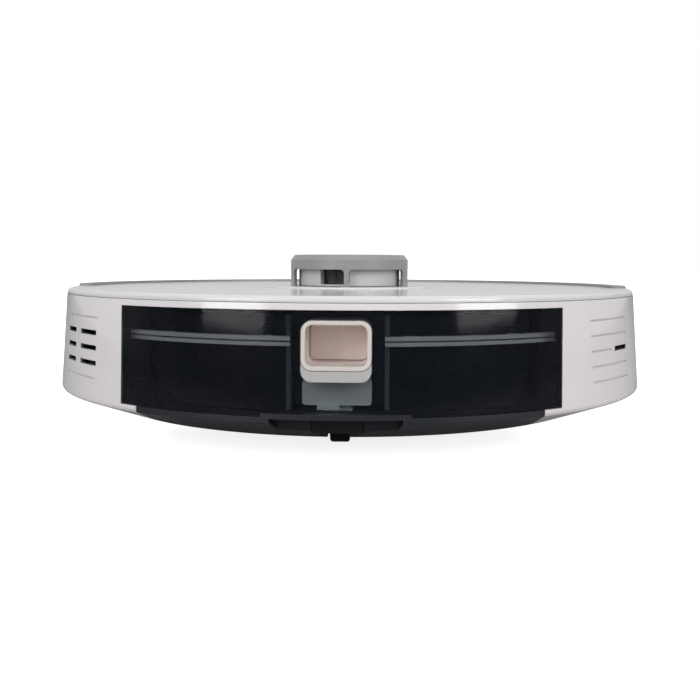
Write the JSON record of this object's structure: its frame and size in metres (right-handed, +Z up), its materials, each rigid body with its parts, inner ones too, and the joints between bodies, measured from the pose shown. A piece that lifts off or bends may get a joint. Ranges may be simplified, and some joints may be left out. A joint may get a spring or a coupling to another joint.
{
  "type": "robot vacuum",
  "caption": "Low round robot vacuum with a laser turret, a front bumper, a rear pull-out dust bin with a smoked cover and a suction port, drive wheels and brushes.",
  "frame": {"origin": "on the floor under the centre of the round body", "axes": "+Z up, +Y the driving direction (bumper side), +X the right-hand side"},
  "size_m": [0.3526, 0.3526, 0.0976],
  "materials": {
    "white_gloss": "gloss",
    "white_satin": "satin",
    "cover_white": "high gloss",
    "bumper_grey": "satin",
    "turret_grey": "gloss",
    "head_grey": "matte",
    "lens_black": "gloss",
    "inner_black": "matte",
    "smoked_clear": "gloss, see-through",
    "tray_dark": "gloss",
    "bin_clear": "satin, see-through",
    "port_white": "satin",
    "apron_grey": "satin",
    "flap_beige": "matte",
    "duct_grey": "matte",
    "filter_frame": "matte",
    "filter_paper": "matte",
    "rubber_black": "matte",
    "tyre_rubber": "matte",
    "hub_grey": "satin",
    "steel": "brushed",
    "motor_steel": "satin",
    "gold_contact": "polished",
    "sensor_black": "gloss",
    "board_green": "satin",
    "chip_black": "matte",
    "light_clear": "diffuse",
    "battery_blue": "satin",
    "brush_blue": "satin",
    "bristle": "fibrous",
    "caster_white": "satin"
  },
  "bodies": {
    "chassis": {"base_tray": "white_satin", "skirt_shell": "white_gloss", "top_cover": "cover_white", "lidar_collar": "cover_white", "turret_cap": "turret_grey", "lidar_base": "inner_black", "lidar_motor": "motor_steel", "lidar_belt": "rubber_black", "battery_door": "white_satin", "battery_case": "battery_blue", "pivot_pins": "steel", "arm_springs": "steel", "brush_motor": "inner_black", "side_brush_motor": "inner_black", "bin_bay": "inner_black", "fan_housing": "inner_black", "speaker": "inner_black", "main_board": "board_green", "board_parts": "chip_black", "light_ring": "light_clear", "cliff_sensors": "sensor_black", "charge_contacts": "gold_contact", "base_screws": "steel"},
    "bumper_shell": {"bumper": "bumper_grey", "bumper_window": "sensor_black"},
    "lidar_rotor": {"lidar_head": "head_grey", "lidar_lenses": "lens_black"},
    "lidar_drive": {"lidar_pinion": "head_grey"},
    "power_key": {"power_button": "cover_white"},
    "home_key": {"home_button": "cover_white"},
    "left_arm": {"drive_arm_left": "inner_black"},
    "left_wheel": {"wheel_hub_left": "hub_grey", "tyre_left": "tyre_rubber"},
    "right_arm": {"drive_arm_right": "inner_black"},
    "right_wheel": {"wheel_hub_right": "hub_grey", "tyre_right": "tyre_rubber"},
    "caster_swivel": {"caster_fork": "inner_black"},
    "caster_roller": {"caster_wheel": "caster_white"},
    "main_brush": {"brush_core": "brush_blue", "brush_bristles": "bristle"},
    "guard": {"brush_guard": "inner_black"},
    "guard_catch": {"guard_latch": "hub_grey"},
    "side_brush": {"side_brush_hub": "brush_blue", "side_brush_bristles": "bristle"},
    "impeller": {"fan_impeller": "head_grey"},
    "dust_bin": {"bin_box": "bin_clear", "bin_lid": "bin_clear", "bin_cover": "smoked_clear", "bin_tray": "tray_dark", "port_ring": "port_white", "port_apron": "apron_grey", "port_duct": "flap_beige", "duct_block": "duct_grey", "filter_frame": "filter_frame", "filter_pleats": "filter_paper"},
    "bin_release": {"bin_latch": "hub_grey"},
    "port_door": {"port_flap": "flap_beige"},
    "inlet_door": {"inlet_flap": "rubber_black"},
    "tail_roller": {"rear_roller": "rubber_black"}
  },
  "joints": [
    {"name": "bumper_press", "type": "slide", "parent": "chassis", "child": "bumper_shell", "axis": [0, -1, 0], "range_m": [0, 0.003], "stiffness_N_per_m": 900, "springref_m": -0.002},
    {"name": "lidar_spin", "type": "hinge", "parent": "chassis", "child": "lidar_rotor", "pos_m": [0, -0.0165, 0.08], "axis": [0, 0, 1], "continuous": true},
    {"name": "lidar_pinion_spin", "type": "hinge", "parent": "chassis", "child": "lidar_drive", "pos_m": [0.046, -0.0165, 0.068], "axis": [0, 0, 1], "continuous": true},
    {"name": "power_press", "type": "slide", "parent": "chassis", "child": "power_key", "axis": [0, 0, -1], "range_m": [0, 0.0008], "stiffness_N_per_m": 600, "springref_m": -0.0006},
    {"name": "home_press", "type": "slide", "parent": "chassis", "child": "home_key", "axis": [0, 0, -1], "range_m": [0, 0.0008], "stiffness_N_per_m": 600, "springref_m": -0.0006},
    {"name": "left_arm_swing", "type": "hinge", "parent": "chassis", "child": "left_arm", "pos_m": [-0.0935, 0.048, 0.038], "axis": [1, 0, 0], "range_deg": [0, 22], "stiffness_Nm_per_rad": 0.12, "springref_deg": 68.75},
    {"name": "left_wheel_spin", "type": "hinge", "parent": "left_arm", "child": "left_wheel", "pos_m": [-0.1135, 0, 0.032], "axis": [1, 0, 0], "continuous": true},
    {"name": "right_arm_swing", "type": "hinge", "parent": "chassis", "child": "right_arm", "pos_m": [0.0935, 0.048, 0.038], "axis": [1, 0, 0], "range_deg": [0, 22], "stiffness_Nm_per_rad": 0.12, "springref_deg": 68.75},
    {"name": "right_wheel_spin", "type": "hinge", "parent": "right_arm", "child": "right_wheel", "pos_m": [0.1135, 0, 0.032], "axis": [1, 0, 0], "continuous": true},
    {"name": "caster_turn", "type": "hinge", "parent": "chassis", "child": "caster_swivel", "pos_m": [0, 0.118, 0.035], "axis": [0, 0, 1], "continuous": true},
    {"name": "caster_roll", "type": "hinge", "parent": "caster_swivel", "child": "caster_roller", "pos_m": [0, 0.11, 0.012], "axis": [1, 0, 0], "continuous": true},
    {"name": "main_brush_spin", "type": "hinge", "parent": "chassis", "child": "main_brush", "pos_m": [0, -0.042, 0.02], "axis": [1, 0, 0], "continuous": true},
    {"name": "guard_swing", "type": "hinge", "parent": "chassis", "child": "guard", "pos_m": [0, -0.01955, 0.01015], "axis": [1, 0, 0], "range_deg": [0, 65]},
    {"name": "guard_catch_press", "type": "slide", "parent": "guard", "child": "guard_catch", "axis": [0, 1, 0], "range_m": [0, 0.0014], "stiffness_N_per_m": 400, "springref_m": -0.0006},
    {"name": "side_brush_spin", "type": "hinge", "parent": "chassis", "child": "side_brush", "pos_m": [0.098, 0.098, 0.008], "axis": [0, 0, 1], "continuous": true},
    {"name": "impeller_spin", "type": "hinge", "parent": "chassis", "child": "impeller", "pos_m": [-0.1245, -0.078, 0.045], "axis": [0, 0, 1], "continuous": true},
    {"name": "bin_slide", "type": "slide", "parent": "chassis", "child": "dust_bin", "axis": [0, -1, 0], "range_m": [0, 0.11]},
    {"name": "bin_release_press", "type": "slide", "parent": "dust_bin", "child": "bin_release", "axis": [0, 1, 0], "range_m": [0, 0.0022], "stiffness_N_per_m": 500, "springref_m": -0.0008},
    {"name": "port_flap_swing", "type": "hinge", "parent": "dust_bin", "child": "port_door", "pos_m": [0, -0.1468, 0.0636], "axis": [1, 0, 0], "range_deg": [0, 60], "stiffness_Nm_per_rad": 0.002, "springref_deg": -28.65},
    {"name": "inlet_flap_swing", "type": "hinge", "parent": "dust_bin", "child": "inlet_door", "pos_m": [0, -0.0798, 0.0472], "axis": [-1, 0, 0], "range_deg": [0, 45]},
    {"name": "tail_roller_spin", "type": "hinge", "parent": "dust_bin", "child": "tail_roller", "pos_m": [0, -0.131, 0.0106], "axis": [1, 0, 0], "continuous": true}
  ],
  "couplings": [
    {"joint": "lidar_pinion_spin", "follows": "lidar_spin", "ratio": 5}
  ]
}
